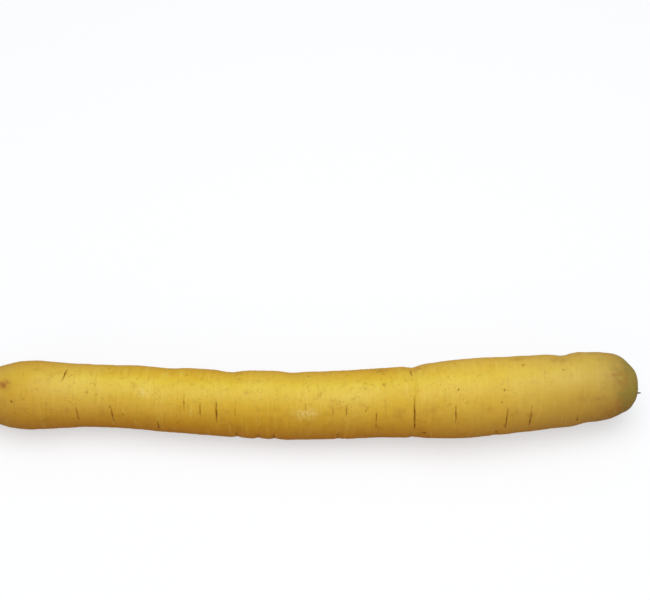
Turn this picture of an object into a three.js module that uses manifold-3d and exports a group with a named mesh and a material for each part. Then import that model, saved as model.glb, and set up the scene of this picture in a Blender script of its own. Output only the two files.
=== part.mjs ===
// A long yellow carrot, as lifted and topped, lying on a table.
//
// The root is one solid that grew in one piece: a narrow nub at the tip, a long body that is
// almost a cylinder, a thicker top and a round shoulder with a shallow basin at the crown.
// The dry stubs of its leaf stalks stand in that basin, each one a solid of its own.
//
// Units are millimetres. X runs along the root from tip to crown, Z is up, and the origin is
// at the middle of the underside, on the table.

import * as THREE from "three";
import { mergeVertices } from "three/addons/utils/BufferGeometryUtils.js";
import Module from "manifold-3d";

const wasm = await Module();
wasm.setup();

// ---------------------------------------------------------------- driving dimensions

const ROOT_LENGTH = 268;
const BASIN_FLOOR = ROOT_LENGTH - 1.7; // where the leaf stalks stand, measured along the root
const BASIN_RADIUS = 3.8;
const ROOT_SIDES = 32; // facets around the root
const RINGS_PER_STATION = 2;
const ARC_STEPS = 5; // stations on each rounded end

// The nub at the tip and the shoulder at the crown are each a quarter of an ellipse. The
// shoulder's would close just past the crown's end, and the basin cuts it off there.
const NUB = { length: 8, radius: 5 };
const SHOULDER = { start: 252, length: 17.2, radius: 13.2 };

// The body's swellings and waists between them: [distance along, radius].
const BODY = [
  [13, 6.3],
  [20, 8.8],
  [27, 11.2],
  [33, 12.7],
  [40, 13.3],
  [61, 11.8],
  [85, 12.2],
  [125, 12.7],
  [165, 12.9],
  [180, 13.5],
  [190, 14.2],
  [202, 15.0],
  [216, 14.7],
  [234, 14.2],
];

// The centreline: [distance along, sideways, height above the table]. The root bows gently to
// one side, and its underside meets the table at both swellings and at the middle of the bow.
const CENTRELINE = [
  [0, 2.5, 8.5],
  [13, 1.8, 9.7],
  [27, 0.8, 11.8],
  [40, 0, 13.0],
  [61, 0.2, 12.2],
  [85, -1.2, 12.4],
  [110, -3.0, 12.2],
  [145, -4.5, 12.3],
  [165, -3.8, 12.9],
  [202, -2.8, 14.6],
  [234, 0.4, 14.6],
  [253, 2.5, 14.8],
  [ROOT_LENGTH, 2.9, 15.0],
];

// The leaf stalk stubs, seen from the crown's end: how far each one is from the middle of the
// basin, the way it lies round the crown (0 is sideways, 90 is up), its height and its
// thickness. The first is the longest and the only one that stands out past the shoulder.
const STUBS = [
  { out: 2.6, around: 205, height: 3.4, thickness: 1.5, lean: 4 },
  { out: 2.6, around: 265, height: 1.9, thickness: 1.9, lean: 10 },
  { out: 2.5, around: 328, height: 1.6, thickness: 1.8, lean: 8 },
  { out: 2.6, around: 32, height: 2.0, thickness: 1.7, lean: 10 },
  { out: 2.5, around: 91, height: 1.5, thickness: 1.9, lean: 8 },
  { out: 2.6, around: 148, height: 1.8, thickness: 1.6, lean: 10 },
  { out: 0.2, around: 0, height: 1.4, thickness: 1.6, lean: 0 },
];
const STUB_GAP = 0.3; // clearance between a stub's foot and the basin floor
const STUB_FLATNESS = 0.72; // a leaf stalk is wider than it is deep
const STUB_SIDES = 10;

const TABLE_BLOCK = 400; // side of the block that trims the underside level with the table

// ---------------------------------------------------------------- solids

// A geometry as a manifold-3d solid: only positions, with shared vertices merged.
function solidFrom(geometry) {
  const bare = geometry.clone();
  bare.deleteAttribute("normal");
  bare.deleteAttribute("uv");
  const merged = mergeVertices(bare);
  return new wasm.Manifold(
    new wasm.Mesh({
      numProp: 3,
      vertProperties: new Float32Array(merged.attributes.position.array),
      triVerts: new Uint32Array(merged.index.array),
    }),
  );
}

// A manifold-3d solid as a three.js geometry.
function geometryFrom(solid) {
  const mesh = solid.getMesh();
  return new THREE.BufferGeometry()
    .setAttribute("position", new THREE.BufferAttribute(mesh.vertProperties, 3))
    .setIndex(new THREE.BufferAttribute(mesh.triVerts, 1));
}

// Turns a profile of [distance along, radius] round the X axis.
function turned(profile, sides) {
  const points = profile.map((p) => new THREE.Vector2(p.y, p.x));
  return new THREE.LatheGeometry(points, sides).rotateZ(-Math.PI / 2);
}

// ---------------------------------------------------------------- the root

const centreline = new THREE.CubicInterpolant(
  CENTRELINE.map(([along]) => along),
  CENTRELINE.flatMap(([, sideways, height]) => [sideways, height]),
  2,
);

// Moves every ring of a straight root onto the centreline.
function bendOntoCentreline(geometry) {
  const position = geometry.attributes.position;
  for (let i = 0; i < position.count; i++) {
    const [sideways, height] = centreline.evaluate(position.getX(i));
    position.setY(i, position.getY(i) + sideways);
    position.setZ(i, position.getZ(i) + height);
  }
  return geometry;
}

// The outline from the tip's end to the middle of the crown's basin.
function outlineStations() {
  const nub = [];
  const shoulder = [];
  const shoulderEnd = Math.asin((ROOT_LENGTH - SHOULDER.start) / SHOULDER.length);
  for (let i = 0; i <= ARC_STEPS; i++) {
    const nubAngle = ((i / ARC_STEPS) * Math.PI) / 2;
    nub.push([NUB.length * (1 - Math.cos(nubAngle)), NUB.radius * Math.sin(nubAngle)]);
    const angle = (i / ARC_STEPS) * shoulderEnd;
    shoulder.push([
      SHOULDER.start + SHOULDER.length * Math.sin(angle),
      SHOULDER.radius * Math.cos(angle),
    ]);
  }
  const basin = [
    [ROOT_LENGTH - 0.4, BASIN_RADIUS + 0.4],
    [BASIN_FLOOR, BASIN_RADIUS],
    [BASIN_FLOOR, BASIN_RADIUS / 2],
    [BASIN_FLOOR, 0],
  ];
  return [...nub, ...BODY, ...shoulder, ...basin];
}

// The whole root, with its underside pressed level where it meets the table.
function rootGeometry() {
  const stations = outlineStations();
  const outline = new THREE.SplineCurve(
    stations.map(([along, radius]) => new THREE.Vector2(along, radius)),
  );
  const profile = outline.getPoints(RINGS_PER_STATION * (stations.length - 1));
  profile.forEach((p) => (p.y = Math.max(p.y, 0)));
  const root = solidFrom(bendOntoCentreline(turned(profile, ROOT_SIDES)));
  const table = new THREE.BoxGeometry(
    2 * TABLE_BLOCK,
    TABLE_BLOCK,
    TABLE_BLOCK,
  ).translate(0, 0, -TABLE_BLOCK / 2);
  return geometryFrom(root.subtract(solidFrom(table)));
}

// ---------------------------------------------------------------- the leaf stalk stubs

// One stub, standing along +X on its foot: a short stalk that narrows to a worn, rounded end.
function stubGeometry({ height, thickness }) {
  const radius = thickness / 2;
  const side = new THREE.SplineCurve([
    new THREE.Vector2(0, radius),
    new THREE.Vector2(height * 0.35, radius * 0.86),
    new THREE.Vector2(height * 0.7, radius * 0.62),
    new THREE.Vector2(height * 0.94, radius * 0.34),
    new THREE.Vector2(height, 0),
  ]);
  const profile = [new THREE.Vector2(0, 0), ...side.getPoints(8)];
  return turned(profile, STUB_SIDES).scale(1, STUB_FLATNESS, 1);
}

// ---------------------------------------------------------------- the carrot

const skin = new THREE.MeshStandardMaterial({
  color: 0xd8b545,
  roughness: 0.5,
  metalness: 0,
});
const dryStalk = new THREE.MeshStandardMaterial({
  color: 0x6e5a34,
  roughness: 0.85,
  metalness: 0,
});

const carrot = new THREE.Group();

const root = new THREE.Mesh(rootGeometry(), skin);
root.name = "root";
carrot.add(root);

const [crownSideways, crownHeight] = centreline.evaluate(ROOT_LENGTH);
STUBS.forEach((stub, i) => {
  const angle = THREE.MathUtils.degToRad(stub.around);
  const lean = THREE.MathUtils.degToRad(stub.lean);
  const mesh = new THREE.Mesh(stubGeometry(stub), dryStalk);
  mesh.name = `leaf_stalk_stub_${i + 1}`;
  // The leaning foot dips on one side, so the stub stands that much further out.
  const dip = Math.sin(lean) * (stub.thickness / 2);
  mesh.position.set(
    BASIN_FLOOR + STUB_GAP + dip,
    crownSideways + stub.out * Math.cos(angle),
    crownHeight + stub.out * Math.sin(angle),
  );
  mesh.rotation.set(angle, 0, lean, "XYZ");
  carrot.add(mesh);
});

// The origin goes to the middle of the underside.
const box = new THREE.Box3().setFromObject(carrot);
const middle = box.getCenter(new THREE.Vector3());
carrot.position.set(-middle.x, -middle.y, -box.min.z);

const part = new THREE.Group();
part.name = "yellow_carrot";
part.add(carrot);

export default part;
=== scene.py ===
# %% [markdown]
# # A long yellow carrot
# A carrot that was lifted, washed and topped lies on a pale table. The root grew in one piece:
# a blunt tip, a long body that is almost a cylinder, a thicker top and a rounded crown. The dry
# stubs of its leaf stalks stand in a shallow basin at the crown. We model the root as one skin,
# because that is how it grew, and each stub as a piece of its own.

# %% Load the construction model
import math
import random

import bpy
import numpy as np
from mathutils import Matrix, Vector, noise


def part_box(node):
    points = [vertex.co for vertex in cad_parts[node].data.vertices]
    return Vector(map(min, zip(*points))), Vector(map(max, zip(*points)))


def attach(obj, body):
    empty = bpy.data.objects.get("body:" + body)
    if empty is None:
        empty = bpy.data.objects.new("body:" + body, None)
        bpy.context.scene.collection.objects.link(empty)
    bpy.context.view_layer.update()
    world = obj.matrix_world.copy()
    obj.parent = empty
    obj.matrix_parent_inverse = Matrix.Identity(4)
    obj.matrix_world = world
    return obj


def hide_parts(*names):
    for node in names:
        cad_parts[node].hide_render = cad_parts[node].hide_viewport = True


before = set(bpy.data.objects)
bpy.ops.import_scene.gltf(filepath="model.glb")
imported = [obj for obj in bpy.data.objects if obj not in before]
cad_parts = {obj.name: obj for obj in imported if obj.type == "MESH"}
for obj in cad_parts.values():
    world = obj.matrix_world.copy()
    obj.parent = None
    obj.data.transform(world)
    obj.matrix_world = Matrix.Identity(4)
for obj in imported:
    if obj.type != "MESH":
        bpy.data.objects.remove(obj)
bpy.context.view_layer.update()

MM = 0.001
random.seed(12)

# %% [markdown]
# ## Camera
# The carrot is seen from in front and from well above, as a cook looks down at a table. A
# slightly long lens keeps the near side from bulging. The camera aims at a point behind and
# above the carrot, which puts the carrot low in the picture, with its tip just out of view.

# %% Camera
CAMERA_TILT = math.radians(52)
CAMERA_DISTANCE = 446 * MM
CAMERA_AIM = Vector((15.1, 29.3, 35.4)) * MM

line_of_sight = Vector((0, math.cos(CAMERA_TILT), -math.sin(CAMERA_TILT)))
bpy.ops.object.camera_add(
    location=CAMERA_AIM - line_of_sight * CAMERA_DISTANCE,
    rotation=(math.pi / 2 - CAMERA_TILT, 0, 0),
)
camera = bpy.context.active_object
camera.data.lens = 65
camera.data.sensor_width = 36
camera.data.clip_start = 10 * MM
bpy.context.scene.camera = camera
print("camera height, mm:", round(camera.location.z / MM))

# %% [markdown]
# ## Floor and light
# The floor is one large sheet of paper, so that no edge of it shows. A carrot on a white table
# usually lies among others, which throw warm light up at it and thin out its shadow. We have
# only the one, so the paper has two faces: it glows a little where the camera sees it, which
# keeps the shadow pale, and it is duller and warmer where it lights the carrot from below. One
# big soft lamp overhead lights the top of the root and lets the flanks fall off, and painted
# shade in the skin deepens them to amber. A weak lamp in front and the sky fill the shadows.
# The Standard view keeps a strong yellow clean.

# %% Floor
FLOOR_SIDE = 60.0
WARM_FACE = (0.43, 0.325, 0.21, 1)  # what the carrot is lit by
PAPER_FACE = (0.44, 0.45, 0.465, 1)  # what the camera sees, with its glow
PAPER_GLOW = 0.56

bpy.ops.mesh.primitive_plane_add(size=FLOOR_SIDE, location=(0, 0, 0))
floor = bpy.context.active_object
floor.name = "floor"
paper = bpy.data.materials.new("pale_floor")
paper.use_nodes = True
paper_nodes = paper.node_tree.nodes
paper_links = paper.node_tree.links
paper_shader = paper_nodes["Principled BSDF"]
paper_shader.inputs["Roughness"].default_value = 0.9
paper_shader.inputs["Specular IOR Level"].default_value = 0.0
paper_shader.inputs["Emission Color"].default_value = (1, 1, 1, 1)
seen = paper_nodes.new("ShaderNodeLightPath").outputs["Is Camera Ray"]
paper_colour = paper_nodes.new("ShaderNodeMix")
paper_colour.data_type = "RGBA"
paper_colour.inputs[6].default_value = WARM_FACE
paper_colour.inputs[7].default_value = PAPER_FACE
paper_links.new(seen, paper_colour.inputs[0])
paper_links.new(paper_colour.outputs[2], paper_shader.inputs["Base Color"])
paper_glow = paper_nodes.new("ShaderNodeMath")
paper_glow.operation = "MULTIPLY"
paper_glow.inputs[1].default_value = PAPER_GLOW
paper_links.new(seen, paper_glow.inputs[0])
paper_links.new(paper_glow.outputs[0], paper_shader.inputs["Emission Strength"])
floor.data.materials.append(paper)

# %% Light
def add_soft_lamp(name, place, aim, size, power):
    """A square area lamp that points from its place at an aim."""
    bpy.ops.object.light_add(type="AREA", location=place)
    lamp = bpy.context.active_object
    lamp.name = name
    lamp.data.shape = "SQUARE"
    lamp.data.size = size
    lamp.data.energy = power
    lamp.rotation_euler = (Vector(aim) - Vector(place)).to_track_quat("-Z", "Y").to_euler()
    return lamp


add_soft_lamp("overhead_lamp", (0.05, -0.02, 0.95), (0, 0, 0), 0.95, 6.7)
add_soft_lamp("front_lamp", (-0.5, -1.0, 0.5), (0, 0, 0), 0.6, 1.2)

world = bpy.data.worlds.new("pale_room")
bpy.context.scene.world = world
world.use_nodes = True
world.node_tree.nodes["Background"].inputs["Color"].default_value = (1, 1, 1, 1)
world.node_tree.nodes["Background"].inputs["Strength"].default_value = 0.40
bpy.context.scene.view_settings.view_transform = "Standard"

# %% [markdown]
# ## The root's rings
# The construction model is already a row of rings from tip to crown. We read each ring's place
# and radius from it, so that the fine skin we make here can't drift from the real size. The
# rings at its flat underside are cut short, so the middle of a ring comes from its two sides
# and its top.

# %% Read the rings of the construction model
def read_rings(node):
    """Rows of distance along X, sideways place, height and radius, from tip to crown."""
    corners = np.array([v.co for v in node.data.vertices])
    rows = []
    for x in np.unique(corners[:, 0].round(6)):
        ring = corners[abs(corners[:, 0] - x) < 2e-6]
        radius = np.ptp(ring[:, 1]) / 2
        if len(ring) > 20 and radius > 1 * MM:
            rows.append((x, ring[:, 1].min() + radius, ring[:, 2].max() - radius, radius))
    return np.array(rows)


rings = read_rings(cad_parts["root"])
tip_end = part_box("root")[0].x
crown_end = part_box("root")[1].x
print(len(rings), "rings, thickest", round(2 * rings[:, 3].max() / MM, 1), "mm")

# %% The crown's rim and basin
RIM_RADIUS = 4.9 * MM
FOOT_GAP = 0.3 * MM  # how far the construction model's stubs stand above the basin's floor

basin_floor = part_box("leaf_stalk_stub_7")[0].x - FOOT_GAP
outside = rings[(rings[:, 3] > RIM_RADIUS) | (rings[:, 0] < 0)]
print("basin depth, mm:", round((crown_end - basin_floor) / MM, 2))


def along(mm_from_tip):
    """The X of a place given by its distance from the tip's end, in mm."""
    return tip_end + mm_from_tip * MM


def ring_at(x):
    """Sideways place, height and radius of the root at x."""
    return [np.interp(x, outside[:, 0], outside[:, i]) for i in (1, 2, 3)]


# %% [markdown]
# ## Where the skin is marked
# Side rootlets once grew out of the skin and left short slits across it. Each slit needs a fine
# mesh, and the plain stretches between them don't. So we list the slits first, and then let the
# mesh be dense where they are. A place on the skin is its distance from the tip's end in mm, and
# its angle round the root: 0 faces the front, 90 is the top, 180 the back and 270 the underside.

# %% The slits on the side that faces us
# The bold slits are listed one by one. A slit that is browner is also cut deeper.
# distance from the tip, angle, length round the root, lean, strength of the brown
BOLD_SLITS = [
    (47, 40, 6, 0, 0.5),
    (53, 95, 7, 0.2, 0.9),
    (58, 20, 7, -0.1, 0.85),
    (71, 17, 8, -0.05, 1.0),
    (88, 0, 6, -0.05, 1.0),
    (98, 52, 8, 0, 0.7),
    (104, 43, 7, 0, 0.8),
    (110, 40, 10, 0, 0.95),
    (117, 40, 4, 0, 0.5),
    (117, -12, 4, 0, 0.8),
    (125, -15, 4, 0, 0.7),
    (131, -12, 5, 0, 0.8),
    (143, 50, 4, 0, 0.5),
    (153, 45, 6, 0, 0.4),
    (155, -10, 4, 0, 0.95),
    (158, 45, 6, 0, 0.6),
    (169, 25, 8, 0, 0.75),
    (183, 35, 15, -0.03, 1.0),
    (182, 115, 6, -0.1, 1.0),
    (198, 35, 9, -0.03, 0.75),
    (214, -12, 5, -0.2, 0.8),
    (217, 20, 10, 0.04, 0.95),
    (226, 20, 11, 0.05, 1.0),
    (244, 12, 7, 0.05, 0.45),
]
# Near the tip they are faint, short and evenly spaced.
TIP_SLIT_PLACES = range(12, 30, 7)


def depth_for(brown):
    """How deep a slit is cut, in mm."""
    return 0.15 + 0.4 * brown


SLITS = [
    (place, random.uniform(20, 75), random.uniform(4, 7), 0, depth_for(0.5), 0.5)
    for place in TIP_SLIT_PLACES
]
SLITS += [
    (place, angle, length, lean, depth_for(brown), brown)
    for place, angle, length, lean, brown in BOLD_SLITS
]
print(len(SLITS), "slits on the near side")

# %% Slits on the sides that are turned away
# Rootlets grow in four rows along a carrot, so the hidden rows repeat the rings of the near one.
HIDDEN_ROWS = (165, 215, 305)
hidden_slits = [
    (
        place + random.uniform(-0.3, 0.3),
        row + random.uniform(-13, 13),
        random.uniform(3.5, 10),
        random.uniform(-0.2, 0.2),
        random.uniform(0.25, 0.6),
        random.uniform(0.35, 1.0),
    )
    for row in HIDDEN_ROWS
    for place, *_ in SLITS
    if random.random() < 0.6
]
slits = SLITS + hidden_slits
print(len(hidden_slits), "slits on the far sides")

# %% [markdown]
# ## The cage of the root
# The root could be a cylinder bent into shape, but its radius changes all the way along. A cage
# of rings gives each its own radius and place: we start with a circle at the tip and extrude it
# from ring to ring. Two rings stand close together at every slit, so that the subdivision that
# follows is fine there.

# %% Stations of the cage
CAGE_SIDES = 16
SLIT_MARGIN = 0.75 * MM
WIDEST_STEP = 6.2 * MM
END_STATIONS = [0.9, 3.4, 7.6, 12, 17]
CROWN_STATIONS = [14, 10, 6.6, 3.9, 1.9, 0.6]

slit_rings = sorted({round(place, 0) for place, *_ in SLITS})
fixed = [along(mm) for mm in END_STATIONS] + [crown_end - mm * MM for mm in CROWN_STATIONS]
for place in slit_rings:
    fixed += [along(place) - SLIT_MARGIN, along(place) + SLIT_MARGIN]
fixed.sort()
stations = [fixed[0]]
for x in fixed[1:]:
    gap = x - stations[-1]
    if gap < 0.8 * MM:
        continue
    steps = math.ceil(gap / WIDEST_STEP)
    stations += [stations[-1] + gap * i / steps for i in range(1, steps)] + [x]
print(len(stations), "stations")

# %% Extrude the cage from tip to crown
# A subdivided ring of sixteen sides draws in by this much, so the cage is that much wider.
CAGE_SWELL = 3 / (2 + math.cos(2 * math.pi / CAGE_SIDES))

bpy.ops.object.select_all(action="DESELECT")
first_y, first_z, first_radius = ring_at(stations[0])
bpy.ops.mesh.primitive_circle_add(
    vertices=CAGE_SIDES,
    radius=first_radius * CAGE_SWELL,
    location=(stations[0], first_y, first_z),
    rotation=(0, math.pi / 2, 0),
)
root = bpy.context.active_object
root.name = "carrot_root"
bpy.ops.object.transform_apply(location=True, rotation=True, scale=True)
bpy.ops.object.mode_set(mode="EDIT")
bpy.ops.mesh.select_all(action="SELECT")


def extrude_to(start, end):
    """Carries the selected ring from one (x, y, z, radius) to the next."""
    step = [b - a for a, b in zip(start[:3], end[:3])]
    bpy.ops.mesh.extrude_edges_move(TRANSFORM_OT_translate={"value": step})
    ratio = end[3] / start[3]
    bpy.ops.transform.resize(value=(1, ratio, ratio), center_override=end[:3])


places = [(x, *ring_at(x)) for x in stations]
for start, end in zip(places, places[1:]):
    extrude_to(start, end)
print("cage of", len(places), "rings")

# %% Roll the rim over into the crown's basin
crown_y, crown_z, _ = ring_at(crown_end)
BASIN = [(0.0, 4.75), (-0.25, 4.1), (-1.2, 3.75), (-1.7, 3.3), (-1.7, 2.2), (-1.6, 1.1)]
last = places[-1]
for depth, radius in BASIN:
    place = (crown_end + depth * MM, crown_y, crown_z, radius * MM)
    extrude_to(last, place)
    last = place
bpy.ops.mesh.extrude_edges_move()
bpy.ops.mesh.merge(type="CENTER")
bpy.ops.object.mode_set(mode="OBJECT")
print("crown closed,", len(root.data.polygons), "faces")

# %% Close the tip
bpy.ops.object.mode_set(mode="EDIT")
bpy.ops.mesh.select_all(action="DESELECT")
bpy.ops.object.mode_set(mode="OBJECT")
for vertex in root.data.vertices:
    vertex.select = vertex.co.x < stations[0] + 0.01 * MM
bpy.ops.object.mode_set(mode="EDIT")
bpy.ops.mesh.extrude_edges_move(TRANSFORM_OT_translate={"value": (tip_end - stations[0], 0, 0)})
bpy.ops.mesh.merge(type="CENTER")
bpy.ops.mesh.select_all(action="SELECT")
bpy.ops.mesh.normals_make_consistent(inside=False)
bpy.ops.object.mode_set(mode="OBJECT")
print("cage:", len(root.data.polygons), "faces")

# %% Subdivide the cage into a fine skin
SKIN_LEVELS = 3

bpy.ops.object.modifier_add(type="SUBSURF")
root.modifiers[-1].levels = SKIN_LEVELS
root.modifiers[-1].render_levels = SKIN_LEVELS
bpy.ops.object.modifier_apply(modifier=root.modifiers[-1].name)
bpy.ops.object.shade_smooth()
print("skin:", len(root.data.polygons), "faces")

# %% [markdown]
# ## Sculpting the skin
# From here each vertex is moved in or out along its own normal, as a sculpting brush would. We
# keep two numbers for every vertex, its distance along the root and its angle round it, and add
# up how far each brush moves it. The brushes that leave a colour also fill a mask.

# %% The skin as numbers
count = len(root.data.vertices)
skin = np.zeros(count * 3)
root.data.vertices.foreach_get("co", skin)
skin = skin.reshape(-1, 3)
outward = np.zeros(count * 3)
root.data.vertex_normals.foreach_get("vector", outward)
outward = outward.reshape(-1, 3)
middle_y, middle_z, radius = ring_at(skin[:, 0])
round_angle = np.degrees(np.arctan2(skin[:, 2] - middle_z, middle_y - skin[:, 1]))
from_tip = (skin[:, 0] - tip_end) / MM
lift = np.zeros(count)  # how far each vertex moves out, in mm
mean_step = (crown_end - tip_end) / MM / len(stations) / 2**SKIN_LEVELS
print(count, "vertices, mean step along, mm:", round(mean_step, 2))


def angle_from(degrees):
    """Each vertex's angle from a given one, between -180 and 180."""
    return (round_angle - degrees + 180) % 360 - 180


def arc_from(degrees):
    """Each vertex's distance round the root from a given angle, in mm."""
    return np.radians(angle_from(degrees)) * np.maximum(radius, 2 * MM) / MM


def bell(distance, width):
    """1 at no distance, falling smoothly to 0 past the width."""
    return np.exp(-((distance / width) ** 2))


# %% Noise over the skin
spin = np.radians(round_angle)
disc = np.stack([np.cos(spin), np.sin(spin)], axis=1)


def skin_noise(step_along, step_round, seed):
    """Smooth noise from -1 to 1. Its features measure the two steps, in mm."""
    reach = 13 / step_round
    return np.array(
        [
            noise.noise(Vector((x / step_along + seed, c * reach, s * reach + seed)))
            for x, (c, s) in zip(from_tip, disc)
        ]
    )


broad = skin_noise(22, 16, 3.1)
knobbly = skin_noise(7, 7, 8.7)
cross_fine = skin_noise(1.6, 11, 21.3)
cross_coarse = skin_noise(4.2, 17, 33.9)
on_body = np.clip((from_tip - 2) / 10, 0, 1) * np.clip((266 - from_tip) / 3, 0, 1)
lift += on_body * (0.28 * broad + 0.12 * knobbly + 0.07 * cross_fine + 0.13 * cross_coarse)
print("undulation, mm:", round(lift.min(), 2), "to", round(lift.max(), 2))

# %% Dents and swellings
# Waists and necks have a negative height. The swellings are at the crown and the thick end.
# distance from the tip, angle, height, reach along, reach round
DENTS = [
    (90, 140, -0.5, 7, 9),
    (114, 145, -0.9, 4.5, 9),
    (138, 145, -0.5, 4, 8),
    (183, 140, -0.7, 2.5, 12),
    (184, -20, -0.45, 3, 9),
    (240, 145, -0.9, 3.5, 10),
    (243, -20, 0.5, 3, 8),
    (261, 130, 0.6, 4, 12),
    (265, -20, 0.5, 2, 12),
]
# Where a slit lies low on the flank, it nicks the outline and the skin swells beside it.
LOW_ANGLE = -5
NICK = (-0.35, 1.2, 5)  # height, reach along, reach round
SWELLING = (0.22, 2.5, 5)
SWELLING_OFFSET = 4.5
for place, angle, *_ in SLITS:
    if angle < LOW_ANGLE:
        DENTS += [(place, angle - 10, *NICK), (place + SWELLING_OFFSET, angle - 10, *SWELLING)]
for place, angle, height, reach_along, reach_round in DENTS:
    lift += height * bell(from_tip - place, reach_along) * bell(arc_from(angle), reach_round)
print(len(DENTS), "dents and swellings")

# %% Long creases
# A crease runs most of the way round, where the root once stopped growing for a while.
# distance from the tip, first and last angle, depth
CREASES = [
    (9, -170, 170, 0.14),
    (15, -150, 130, 0.1),
    (23, -170, 120, 0.12),
    (71, -40, 60, 0.1),
    (183, -60, 150, 0.32),
    (217, -40, 50, 0.12),
    (226, -30, 60, 0.12),
]
CREASE_WIDTH = 0.8
CREASE_WANDER = 0.35  # how far it strays from a straight ring, in mm
for place, first, last_angle, depth in CREASES:
    within = bell(angle_from((first + last_angle) / 2), (last_angle - first) / 2.2)
    wander = CREASE_WANDER * np.sin(spin * 3 + place)
    lift -= depth * within * bell(from_tip - place - wander, CREASE_WIDTH)
print(len(CREASES), "creases")

# %% The slits
# A groove with a low lip on each side. Widths and heights are in mm.
GROOVE_WIDTH = 0.24
LIP_PLACE = 0.6
LIP_WIDTH = 0.3
LIP_HEIGHT = 0.16  # for a groove 1 mm deep

slit_mask = np.zeros(count)
dashes = np.clip(0.5 + 1.1 * skin_noise(9, 1.1, 57.2), 0, 1)
for place, angle, length, lean, depth, brown in slits:
    across = arc_from(angle)
    taper = np.sqrt(np.clip(1 - (2 * across / length) ** 2, 0, 1))
    offset = from_tip - place - lean * across - 0.06 * np.sin(across * 1.4 + place)
    groove = bell(offset, GROOVE_WIDTH) * taper
    lips = bell(abs(offset) - LIP_PLACE, LIP_WIDTH) * taper
    lift += LIP_HEIGHT * depth * lips - depth * groove * (0.35 + 0.65 * dashes)
    head = 0.55 + 0.45 * bell(across / length - 0.3 * math.sin(7 * place), 0.35)
    line = bell(offset, 0.15 + 0.09 * brown) * (0.45 + 0.65 * dashes) * head
    stain = taper * (line + 0.1 * bell(offset, 0.8))
    slit_mask = np.maximum(slit_mask, brown * stain)
print("slit mask covers", round(100 * (slit_mask > 0.3).mean(), 2), "% of the skin")

# %% Pits and dots
# The plainest dots are listed one by one.
# distance from the tip, angle, radius, depth, strength of the brown
BOLD_PITS = [
    (34, 45, 0.6, 0.35, 1.0),
    (98, 53, 0.6, 0.3, 0.5),
    (110, 42, 0.5, 0.3, 0.6),
    (187, -2, 0.85, 0.4, 0.9),
    (198, 37, 0.5, 0.3, 0.6),
    (199, 70, 0.42, 0.45, 1.0),
    (216, 65, 0.4, 0.35, 0.95),
    (220, 58, 0.45, 0.25, 0.75),
    (244, 0, 0.75, 0.3, 0.8),
]


def scattered_pit(first_angle, last_angle):
    """A pit at a random place along the root, between two angles."""
    return (
        random.uniform(12, 262),
        random.uniform(first_angle, last_angle),
        random.uniform(0.38, 0.68),
        random.uniform(0.1, 0.35),
        random.uniform(0.4, 0.9),
    )


def slit_pit():
    """A small dot close to the ring of a slit, where most of them are."""
    place = random.choice(SLITS)[0] + random.uniform(-1, 1)
    return (place, random.uniform(25, 75), 0.42, 0.2, random.uniform(0.3, 0.7))


SLIT_PITS = 18
TOP_PITS = 7
HIDDEN_PITS = 42
pits = BOLD_PITS + [slit_pit() for _ in range(SLIT_PITS)]
pits += [scattered_pit(85, 135) for _ in range(TOP_PITS)]
pits += [scattered_pit(135, 345) for _ in range(HIDDEN_PITS)]
for place, angle, size, depth, brown in pits:
    distance = np.hypot(from_tip - place, arc_from(angle))
    lift += 0.25 * depth * bell(distance - 1.6 * size, 0.5 * size) - depth * bell(distance, size)
    slit_mask = np.maximum(slit_mask, 0.9 * brown * bell(distance, 0.75 * size))
print(len(pits), "pits")

# %% Rough pale patches
# Where the skin was grazed it healed into a patch of small pale bumps.
# distance from the tip, angle, reach along, reach round
PALE_PATCHES = [
    (143, 44, 4, 2),
    (83, 67, 1.6, 1.6),
    (174, 230, 3.5, 2.5),
    (60, 170, 3, 2),
]
grain = skin_noise(0.9, 1.1, 71.4)
pale_mask = np.zeros(count)
for place, angle, reach_along, reach_round in PALE_PATCHES:
    patch = bell(from_tip - place, reach_along) * bell(arc_from(angle), reach_round)
    pale_mask = np.maximum(pale_mask, patch * np.clip(0.45 + 1.6 * grain, 0, 1))
lift += 0.28 * pale_mask * (1 - np.clip(slit_mask, 0, 1))
print("pale mask peaks at", round(pale_mask.max(), 2))

# %% Rusty stains, and a painted shade low on the crown
# distance from the tip, angle, reach along, reach round, strength
BOLD_STAINS_AND_SHADE = [
    (31, 75, 2, 1.5, 1.5),
    (187, -2, 1.5, 1.0, 0.8),
    (259, 75, 2.4, 0.45, 1.5),
    (259, 68, 1.3, 1.0, 1.2),
    (260, 70, 2.6, 3.5, 0.6),
    # Painted shade: a broad brown patch low on the front of the crown, where the crown turns away from
    # the lamp.
    (258, 0, 6, 7, 0.6),
]


def scattered_stain(first_angle, last_angle, strength):
    """A stain at a random place between two angles."""
    return (
        random.uniform(10, 255),
        random.uniform(first_angle, last_angle),
        random.uniform(2, 4),
        random.uniform(1, 3),
        strength * random.uniform(0.7, 1.3),
    )


FRONT_STAINS = 22
TOP_STAINS = 4
HIDDEN_STAINS = 8
STAINS_AND_SHADE = BOLD_STAINS_AND_SHADE + [scattered_stain(0, 55, 0.32) for _ in range(FRONT_STAINS)]
STAINS_AND_SHADE += [scattered_stain(110, 130, 0.5) for _ in range(TOP_STAINS)]
STAINS_AND_SHADE += [scattered_stain(150, 320, 0.4) for _ in range(HIDDEN_STAINS)]
cloud = skin_noise(1.8, 1.8, 91.8)
rust_and_shade_mask = np.zeros(count)
for place, angle, reach_along, reach_round, strength in STAINS_AND_SHADE:
    patch = bell(from_tip - place, reach_along) * bell(arc_from(angle), reach_round)
    rust_and_shade_mask = np.maximum(rust_and_shade_mask, strength * patch * np.clip(0.65 + 1.5 * cloud, 0, 1))
print(len(STAINS_AND_SHADE), "stains")

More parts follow.
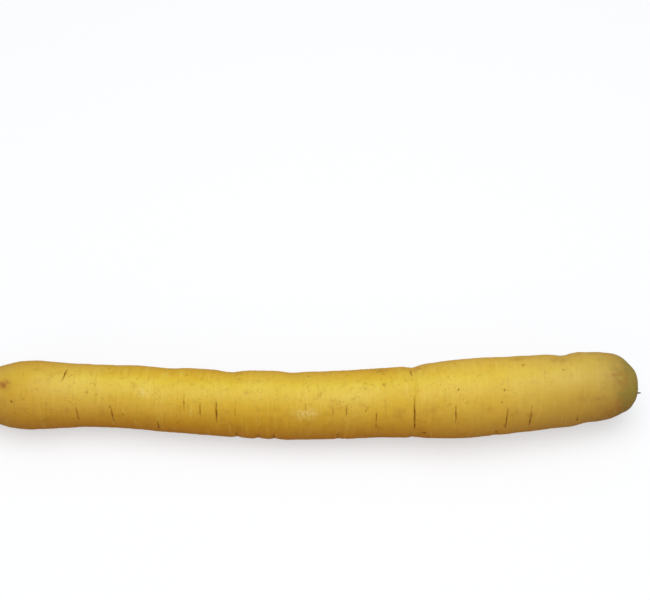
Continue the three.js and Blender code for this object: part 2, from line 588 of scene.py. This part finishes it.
# %% Leaf scars in the crown's basin
# Each leaf left a ring-shaped scar round the growing point, so the basin is finely ridged.
from_axis = np.hypot(skin[:, 1] - crown_y, skin[:, 2] - crown_z) / MM
facing_out = outward[:, 0] > 0.5
in_basin = facing_out * np.clip((5.2 - from_axis) / 0.8, 0, 1) * (from_tip > 262)
ridges = np.sin(from_axis * 7.5 + 1.4 * np.sin(spin * 5)) * 0.5 + cross_fine * 0.4
lift += 0.13 * in_basin * ridges
basin_mask = in_basin * np.clip(0.75 + 0.35 * ridges, 0, 1)
print("basin vertices:", int((basin_mask > 0.1).sum()))

# %% Move the skin
# The underside stays level with the table, where the root's weight presses it flat.
skin += outward * (lift * MM)[:, None]
skin[:, 2] = np.maximum(skin[:, 2], 0)
skin[:, 0] = np.minimum(skin[:, 0], crown_end)
root.data.vertices.foreach_set("co", skin.ravel())
root.data.update()
print("root, mm:", (np.ptp(skin, axis=0) / MM).round(1))

# %% Keep the masks on the mesh
# Painted shade: this mask is highest where the skin faces away from the overhead lamp, on the flanks,
# underneath and towards the back, and the skin material tints it amber there.
facing_from_lamp = 1 - outward[:, 2] + 0.3 * np.maximum(outward[:, 1], 0)
painted_flank_shade = np.clip(facing_from_lamp / 1.2, 0, 1) ** 0.6
MASKS = {
    "slit_brown": np.clip(slit_mask, 0, 1),
    "pale_bumps": pale_mask,
    "rust_and_shade": np.clip(rust_and_shade_mask, 0, 1),
    "basin": basin_mask,
    "painted_flank_shade": painted_flank_shade,
    "from_tip": from_tip,
}
for name, values in MASKS.items():
    attribute = root.data.attributes.new(name, "FLOAT", "POINT")
    attribute.data.foreach_set("value", values.astype(np.float32))
print("masks:", ", ".join(MASKS))

# %% [markdown]
# ## Helpers for materials
# A material is a chain of small steps, and the same few steps come back each time: read a mask,
# make noise, turn it into a soft edge, and mix a colour in. Short helpers keep each material
# readable. They only add nodes and join them up.

# %% Node helpers
def new_material(name):
    """A material with its node tree and its Principled shader."""
    material = bpy.data.materials.new(name)
    material.use_nodes = True
    return material, material.node_tree, material.node_tree.nodes["Principled BSDF"]


def add_node(tree, kind, inputs=(), **settings):
    """A node with its settings made and its inputs filled or joined."""
    made = tree.nodes.new(kind)
    for name, value in settings.items():
        setattr(made, name, value)
    for socket, value in dict(inputs).items():
        if isinstance(value, bpy.types.NodeSocket):
            tree.links.new(value, made.inputs[socket])
        else:
            made.inputs[socket].default_value = value
    return made


def mask(tree, name):
    """The mask of that name from the mesh."""
    return add_node(tree, "ShaderNodeAttribute", attribute_name=name).outputs["Fac"]


def soft_edge(tree, value, low, high):
    """0 below low, 1 above high, and smooth between them."""
    settings = {"Value": value, "From Min": low, "From Max": high}
    made = add_node(tree, "ShaderNodeMapRange", settings, interpolation_type="SMOOTHSTEP")
    return made.outputs["Result"]


def times(tree, a, b):
    """The product of two values."""
    return add_node(tree, "ShaderNodeMath", {0: a, 1: b}, operation="MULTIPLY").outputs[0]


def plus(tree, a, b):
    """The sum of two values."""
    return add_node(tree, "ShaderNodeMath", {0: a, 1: b}, operation="ADD").outputs[0]


def tint(tree, base, colour, amount):
    """The base colour with another mixed in by an amount."""
    made = add_node(tree, "ShaderNodeMix", data_type="RGBA")
    for socket, value in ((0, amount), (6, base), (7, colour)):
        if isinstance(value, bpy.types.NodeSocket):
            tree.links.new(value, made.inputs[socket])
        else:
            made.inputs[socket].default_value = value
    return made.outputs[2]


def noise_value(tree, place, scale, detail=2.0, roughness=0.5):
    """Smooth noise at a place. The scale is in features to the metre."""
    settings = {"Vector": place, "Scale": scale, "Detail": detail, "Roughness": roughness}
    return add_node(tree, "ShaderNodeTexNoise", settings).outputs["Fac"]


print("helpers ready")

# %% [markdown]
# ## Specks, shared by root and stalks
# Earth and old pores leave small dark specks on skin and stalk alike. A Voronoi pattern drops one
# speck in each cell, and a random number for the cell decides whether it shows. It is a node
# group, so both materials can use it with their own size and share.

# %% Node group: specks
specks = bpy.data.node_groups.new("earth_specks", "ShaderNodeTree")
specks.interface.new_socket("Place", in_out="INPUT", socket_type="NodeSocketVector")
specks.interface.new_socket("Scale", in_out="INPUT", socket_type="NodeSocketFloat")
specks.interface.new_socket("Share", in_out="INPUT", socket_type="NodeSocketFloat")
specks.interface.new_socket("Mask", in_out="OUTPUT", socket_type="NodeSocketFloat")
way_in = specks.nodes.new("NodeGroupInput")
way_out = specks.nodes.new("NodeGroupOutput")
cells = add_node(
    specks, "ShaderNodeTexVoronoi", {"Vector": way_in.outputs["Place"], "Scale": way_in.outputs["Scale"]}
)
finer = times(specks, way_in.outputs["Scale"], 3.1)
ragged = noise_value(specks, way_in.outputs["Place"], finer, 2, 0.6)
frayed = add_node(
    specks, "ShaderNodeMath", {0: ragged, 1: 0.8, 2: cells.outputs["Distance"]}, operation="MULTIPLY_ADD"
)
dot = soft_edge(specks, frayed.outputs[0], 0.66, 0.44)
pick = add_node(specks, "ShaderNodeSeparateColor", {"Color": cells.outputs["Color"]}).outputs[0]
chosen = add_node(
    specks, "ShaderNodeMath", {0: pick, 1: way_in.outputs["Share"]}, operation="LESS_THAN"
).outputs[0]
specks.links.new(times(specks, dot, chosen), way_out.inputs["Mask"])
print("node group:", specks.name)


def speck_mask(tree, place, scale, share):
    """The specks group placed in a material."""
    made = tree.nodes.new("ShaderNodeGroup")
    made.node_tree = specks
    tree.links.new(place, made.inputs["Place"])
    made.inputs["Scale"].default_value = scale
    made.inputs["Share"].default_value = share
    return made.outputs["Mask"]


# %% [markdown]
# ## The skin of the root
# Fresh carrot skin is thin and waxy. Light goes a little way in, so it glows from inside, and a
# soft broad shine lies on top. The yellow isn't even: it is paler in rings, tan at the tip and dull
# green where the crown stood in the sun. Painted shade deepens the yellow to amber on the flanks,
# underneath and towards the back. The crown's green is kept to its upper side, so the top of the
# crown is painted lighter than its lower side.

# %% Skin material: the yellow
skin_material, tree, shader = new_material("root_skin")
place = add_node(tree, "ShaderNodeTexCoord").outputs["Object"]
YELLOW = (0.74, 0.52, 0.028, 1)
LIGHT_YELLOW = (0.81, 0.635, 0.09, 1)
PAINTED_SHADE_AMBER = (0.62, 0.25, 0.010, 1)

drift = soft_edge(tree, noise_value(tree, place, 34, 3), 0.35, 0.68)
colour = tint(tree, YELLOW, LIGHT_YELLOW, times(tree, drift, 0.7))
# Painted shade: the skin turns amber where it faces away from the lamp, on the flanks, underneath and at
# the back.
colour = tint(tree, colour, PAINTED_SHADE_AMBER, times(tree, mask(tree, "painted_flank_shade"), 0.9))
print("yellow ready")

# %% Skin material: fine rings
squeeze = add_node(tree, "ShaderNodeMapping", {"Vector": place, "Scale": (1, 0.13, 0.13)})
ring_place = squeeze.outputs["Vector"]
fine_rings = noise_value(tree, ring_place, 900, 4, 0.65)
dark_rings = soft_edge(tree, fine_rings, 0.56, 0.72)
pale_rings = soft_edge(tree, fine_rings, 0.46, 0.28)
colour = tint(tree, colour, (0.50, 0.29, 0.03, 1), times(tree, dark_rings, 0.45))
colour = tint(tree, colour, (0.84, 0.66, 0.12, 1), times(tree, pale_rings, 0.32))
mottle = soft_edge(tree, noise_value(tree, place, 420, 5, 0.7), 0.5, 0.78)
colour = tint(tree, colour, (0.48, 0.25, 0.015, 1), times(tree, mottle, 0.62))
print("rings ready")

# %% Skin material: specks
clusters = soft_edge(tree, noise_value(tree, place, 75, 3, 0.6), 0.44, 0.62)
small_specks = times(tree, speck_mask(tree, place, 900, 0.75), clusters)
large_specks = speck_mask(tree, place, 300, 0.16)
colour = tint(tree, colour, (0.42, 0.17, 0.006, 1), times(tree, small_specks, 0.8))
colour = tint(tree, colour, (0.42, 0.18, 0.008, 1), times(tree, large_specks, 0.55))
print("specks ready")

# %% Skin material: tip and crown
distance = mask(tree, "from_tip")
blotch = noise_value(tree, place, 160, 4, 0.6)
ragged = add_node(tree, "ShaderNodeMath", {0: blotch, 1: 18.0, 2: distance}, operation="MULTIPLY_ADD")
ragged = plus(tree, ragged.outputs[0], -9.0)
tip_tan = soft_edge(tree, ragged, 84, 10)
colour = tint(tree, colour, (0.52, 0.28, 0.045, 1), times(tree, tip_tan, 0.47))
pale_top = soft_edge(tree, ragged, 172, 218)
colour = tint(tree, colour, (0.78, 0.55, 0.12, 1), times(tree, pale_top, 0.2))
crown_dull = soft_edge(tree, ragged, 205, 266)
colour = tint(tree, colour, (0.44, 0.29, 0.075, 1), times(tree, crown_dull, 0.48))
shoulder = soft_edge(tree, ragged, 249, 263)
colour = tint(tree, colour, (0.33, 0.21, 0.04, 1), times(tree, shoulder, 0.6))
crown_end_mask = soft_edge(tree, ragged, 257, 270)
colour = tint(tree, colour, (0.22, 0.145, 0.03, 1), times(tree, crown_end_mask, 0.75))
height = add_node(tree, "ShaderNodeSeparateXYZ", {"Vector": place}).outputs["Z"]
# The crown's green is its own colour, but it is kept to the crown's upper side by height, so the top of
# the crown is painted lighter and its lower side darker: painted light and shade.
green_and_lit_top = times(tree, crown_end_mask, soft_edge(tree, height, 9 * MM, 19 * MM))
colour = tint(tree, colour, (0.34, 0.31, 0.045, 1), times(tree, green_and_lit_top, 0.68))
print("tip and crown ready")

# %% Skin material: marks
colour = tint(tree, colour, (0.86, 0.68, 0.25, 1), times(tree, mask(tree, "pale_bumps"), 0.75))
# Rust stains, and the painted shade low on the front of the crown.
rust_and_shade = mask(tree, "rust_and_shade")
colour = tint(tree, colour, (0.38, 0.14, 0.02, 1), times(tree, rust_and_shade, 0.9))
slit = mask(tree, "slit_brown")
colour = tint(tree, colour, (0.28, 0.11, 0.006, 1), soft_edge(tree, slit, 0.05, 0.66))
basin = mask(tree, "basin")
colour = tint(tree, colour, (0.10, 0.07, 0.02, 1), times(tree, basin, 0.85))
tree.links.new(colour, shader.inputs["Base Color"])
print("marks ready")

# %% Skin material: shine and relief
rough = add_node(
    tree,
    "ShaderNodeMapRange",
    {"Value": fine_rings, "From Min": 0.3, "From Max": 0.7, "To Min": 0.36, "To Max": 0.50},
).outputs["Result"]
rough = plus(tree, rough, times(tree, plus(tree, slit, basin), 0.3))
tree.links.new(rough, shader.inputs["Roughness"])
pores = noise_value(tree, place, 1500, 3, 0.6)
relief = plus(tree, times(tree, fine_rings, 1.0), times(tree, pores, 0.35))
relief = plus(tree, relief, times(tree, small_specks, -0.15))
bump = add_node(tree, "ShaderNodeBump", {"Strength": 0.55, "Distance": 0.22 * MM, "Height": relief})
tree.links.new(bump.outputs["Normal"], shader.inputs["Normal"])
shader.inputs["Specular IOR Level"].default_value = 0.27
shader.inputs["Subsurface Weight"].default_value = 0.16
shader.inputs["Subsurface Radius"].default_value = (1.0, 0.55, 0.15)
shader.inputs["Subsurface Scale"].default_value = 2.2 * MM
root.data.materials.append(skin_material)
print("skin material:", len(tree.nodes), "nodes")

# %% The root rides on the body and stands for its construction solid
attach(root, "root")
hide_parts("root")
print("root placed")

# %% [markdown]
# ## The leaf stalk stubs
# When the leaves were torn off, each stalk left a dry stub. A leaf stalk is a gutter: round on the
# outside, hollow on the inside, with fibres running up it. We model one, standing at the origin
# on a unit foot, and copy it to each place that the construction model gives.

# %% One stub: the stalk
STALK_SIDES = 20

bpy.ops.object.select_all(action="DESELECT")
bpy.ops.mesh.primitive_cylinder_add(
    vertices=STALK_SIDES, radius=1, depth=0.2, location=(0, 0, 0.1), end_fill_type="NGON"
)
stalk = bpy.context.active_object
stalk.name = "stalk_pattern"
bpy.ops.object.transform_apply(location=True, rotation=True, scale=True)


def select_faces(piece, chosen):
    """Selects, in edit mode, only the faces that a test on their middle and normal picks."""
    bpy.ops.object.mode_set(mode="EDIT")
    bpy.ops.mesh.select_mode(type="FACE")
    bpy.ops.mesh.select_all(action="DESELECT")
    bpy.ops.object.mode_set(mode="OBJECT")
    for face in piece.data.polygons:
        face.select = chosen(face.center, face.normal)
    bpy.ops.object.mode_set(mode="EDIT")


select_faces(stalk, lambda middle, normal: normal.z > 0.9)
for rise, shrink in ((0.25, 0.94), (0.25, 0.88), (0.22, 0.84), (0.18, 0.78), (0.12, 0.7)):
    bpy.ops.mesh.extrude_region_move(TRANSFORM_OT_translate={"value": (0, 0, rise)})
    bpy.ops.transform.resize(value=(shrink, shrink, 1))
bpy.ops.mesh.inset(thickness=0.12)
bpy.ops.mesh.extrude_region_move(TRANSFORM_OT_translate={"value": (0, 0, -0.22)})
bpy.ops.object.mode_set(mode="OBJECT")
print("stalk pattern:", len(stalk.data.polygons), "faces")

# %% One stub: smooth it
bpy.ops.object.modifier_add(type="SUBSURF")
stalk.modifiers[-1].levels = 2
stalk.modifiers[-1].render_levels = 2
bpy.ops.object.modifier_apply(modifier=stalk.modifiers[-1].name)
bpy.ops.object.shade_smooth()
top_of_pattern = max(v.co.z for v in stalk.data.vertices)
print("stalk pattern height:", round(top_of_pattern, 3))

# %% Where each stub stands
stub_nodes = sorted(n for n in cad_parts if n.startswith("leaf_stalk_stub"))
crown_middle = Vector((basin_floor, crown_y, crown_z))


def stub_place(name):
    """The foot, the top and half the widest thickness of a stub of the construction model."""
    low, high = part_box(name)
    corners = np.array([v.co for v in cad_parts[name].data.vertices])
    foot = corners[corners[:, 0] < low.x + 0.35 * (high.x - low.x)].mean(axis=0)
    top = corners[corners[:, 0] > high.x - 0.05 * (high.x - low.x)].mean(axis=0)
    half = max(np.ptp(corners[:, 1]), np.ptp(corners[:, 2])) / 2
    return Vector(foot), Vector(top), half


for name in stub_nodes:
    print(name, "top, mm:", [round(c / MM, 1) for c in stub_place(name)[1]])

# %% Copy the stub to each place
SUNK = 0.9 * MM  # how far each stub's foot goes into the basin's floor
FLATNESS = 0.72


def make_stub(number, node_name):
    """A torn, fibrous stub that fills the place of one construction solid."""
    foot, top, half = stub_place(node_name)
    rise = (top - foot).normalized()
    aside = rise.cross(foot - crown_middle)
    aside = aside.normalized() if aside.length > 0.1 * MM else Vector((0, 1, 0))
    inward = aside.cross(rise)
    stub = stalk.copy()
    stub.data = stalk.data.copy()
    stub.name = f"dry_leaf_stalk_{number}"
    bpy.context.collection.objects.link(stub)
    start = Vector((basin_floor - SUNK, foot.y, foot.z))
    height = (top.x - start.x) / top_of_pattern
    for vertex in stub.data.vertices:
        across, deep, up = vertex.co
        turn = math.atan2(deep, across)
        fibre = 1 + 0.09 * math.sin(turn * 9 + number) + 0.05 * math.sin(turn * 17 + 2 * number)
        gutter = 0.38 * math.exp(-((across / 0.45) ** 2)) * max(deep, 0) * min(up, 1)
        torn = 0.14 * noise.noise(Vector((turn * 1.7, number * 3.3, 0))) * max(up - 0.7, 0) / 0.5
        twist = 0.35 * up * math.sin(number * 2.1)
        across, deep = (
            across * math.cos(twist) - deep * math.sin(twist),
            across * math.sin(twist) + deep * math.cos(twist) - gutter,
        )
        vertex.co = (
            start
            + aside * (across * half * fibre)
            + inward * (deep * half * fibre * FLATNESS)
            + rise * ((up + torn) * height)
        )
    bpy.context.view_layer.objects.active = stub
    return stub


stubs = [make_stub(i + 1, name) for i, name in enumerate(stub_nodes)]
bpy.data.objects.remove(stalk)
print(len(stubs), "stubs")

# %% Face the stubs outwards
bpy.ops.object.select_all(action="DESELECT")
for stub in stubs:
    bpy.context.view_layer.objects.active = stub
    bpy.ops.object.mode_set(mode="EDIT")
    bpy.ops.mesh.select_all(action="SELECT")
    bpy.ops.mesh.normals_make_consistent(inside=False)
    bpy.ops.object.mode_set(mode="OBJECT")
print("normals checked")

# %% [markdown]
# ## Dry stalk
# A dry leaf stalk is grey-brown and fibrous, and greener at its foot, where it is still fresh.
# The fibres run along X here, so the noise is stretched that way.

# %% Dry stalk material
stalk_material, tree, shader = new_material("dry_leaf_stalk")
place = add_node(tree, "ShaderNodeTexCoord").outputs["Object"]
stretch = add_node(tree, "ShaderNodeMapping", {"Vector": place, "Scale": (0.16, 1, 1)})
fibres = noise_value(tree, stretch.outputs["Vector"], 4200, 3, 0.6)
colour = tint(tree, (0.12, 0.075, 0.03, 1), (0.34, 0.27, 0.13, 1), soft_edge(tree, fibres, 0.35, 0.68))
height = add_node(tree, "ShaderNodeSeparateXYZ", {"Vector": place}).outputs["X"]
fresh = soft_edge(tree, height, crown_end + 0.3 * MM, basin_floor)
colour = tint(tree, colour, (0.13, 0.14, 0.035, 1), times(tree, fresh, 0.6))
colour = tint(tree, colour, (0.05, 0.03, 0.012, 1), times(tree, speck_mask(tree, place, 2600, 0.4), 0.6))
tree.links.new(colour, shader.inputs["Base Color"])
bump = add_node(tree, "ShaderNodeBump", {"Strength": 0.7, "Distance": 0.1 * MM, "Height": fibres})
tree.links.new(bump.outputs["Normal"], shader.inputs["Normal"])
shader.inputs["Roughness"].default_value = 0.82
shader.inputs["Specular IOR Level"].default_value = 0.25
for stub, name in zip(stubs, stub_nodes):
    stub.data.materials.clear()
    stub.data.materials.append(stalk_material)
    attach(stub, "root")
    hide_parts(name)
print("stalk material:", len(tree.nodes), "nodes")
